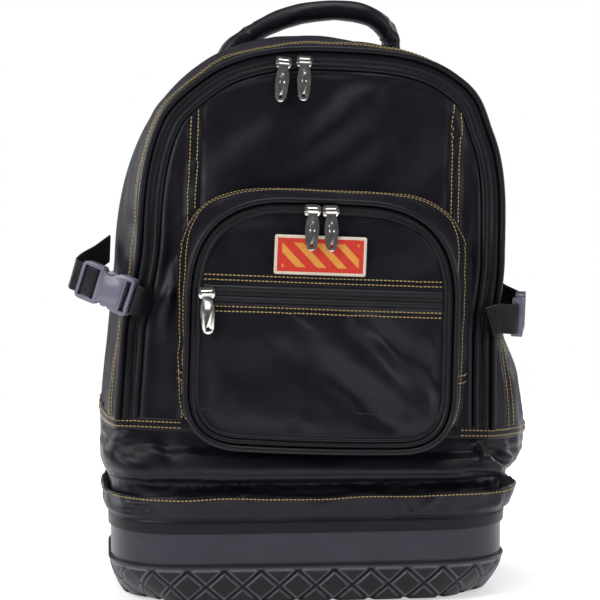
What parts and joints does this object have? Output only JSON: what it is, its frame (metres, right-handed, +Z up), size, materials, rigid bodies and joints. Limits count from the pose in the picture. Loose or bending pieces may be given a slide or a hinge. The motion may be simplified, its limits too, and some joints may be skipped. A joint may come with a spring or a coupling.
{
  "type": "tool backpack",
  "caption": "Black nylon tool backpack on a moulded tread base, with an arched zip front, a zipped front pocket, side straps with clip buckles, a padded handle and shoulder straps.",
  "frame": {"origin": "centre of the flat underside of the base, where the pack stands", "axes": "+Z up to the carrying handle, -Y out of the front pocket, +X to the right of someone who looks at the front"},
  "size_m": [0.3922, 0.2744, 0.5112],
  "materials": {
    "cloth": "fine black nylon weave with a soft violet sheen",
    "trim": "black zip tape, welts and piping",
    "webbing": "black ribbed polyester webbing",
    "back_padding": "black knitted spacer mesh",
    "base_plastic": "satin charcoal moulded plastic",
    "buckle": "black moulded plastic",
    "nickel": "polished nickel",
    "label": "red woven patch with a pale border and amber hatching"
  },
  "bodies": {
    "pack": {"base_tub": "base_plastic", "skirt": "cloth", "lower_band": "cloth", "side_wall": "cloth", "front_piping": "trim", "main_zip": "trim", "front_panel": "cloth", "back_panel": "back_padding", "pocket_side": "cloth", "pocket_piping": "trim", "pocket_zip": "trim", "pocket_face": "cloth", "face_zip": "trim", "label_patch": "label", "main_left_slider": "nickel", "main_right_slider": "nickel", "pocket_left_slider": "nickel", "pocket_right_slider": "nickel", "front_slider": "nickel", "left_buckle_socket": "buckle", "left_buckle_plug": "buckle", "left_front_web": "webbing", "left_back_web": "webbing", "right_buckle_socket": "buckle", "right_buckle_plug": "buckle", "right_front_web": "webbing", "right_back_web": "webbing", "handle": "cloth", "left_shoulder_strap": "cloth", "left_lock": "buckle", "left_lower_web": "webbing", "right_shoulder_strap": "cloth", "right_lock": "buckle", "right_lower_web": "webbing"},
    "main_left_tab": {"main_left_pull": "nickel"},
    "main_right_tab": {"main_right_pull": "nickel"},
    "pocket_left_tab": {"pocket_left_pull": "nickel"},
    "pocket_right_tab": {"pocket_right_pull": "nickel"},
    "front_tab": {"front_pull": "nickel"}
  },
  "joints": [
    {"name": "main_left_swing", "type": "hinge", "parent": "pack", "child": "main_left_tab", "pos_m": [-0.02565, -0.06429, 0.44815], "axis": [-0.994, 0, 0.1097], "range_deg": [0, 150]},
    {"name": "main_right_swing", "type": "hinge", "parent": "pack", "child": "main_right_tab", "pos_m": [-0.00842, -0.06413, 0.44919], "axis": [-0.9992, 0, 0.0401], "range_deg": [0, 150]},
    {"name": "pocket_left_swing", "type": "hinge", "parent": "pack", "child": "pocket_left_tab", "pos_m": [-0.00706, -0.11842, 0.32679], "axis": [-0.9983, 0, 0.0576], "range_deg": [0, 150]},
    {"name": "pocket_right_swing", "type": "hinge", "parent": "pack", "child": "pocket_right_tab", "pos_m": [0.00778, -0.11843, 0.3262], "axis": [-1, 0, 0.0052], "range_deg": [0, 150]},
    {"name": "front_swing", "type": "hinge", "parent": "pack", "child": "front_tab", "pos_m": [-0.09329, -0.12542, 0.26084], "axis": [-0.9996, 0, -0.0297], "range_deg": [0, 150]}
  ]
}
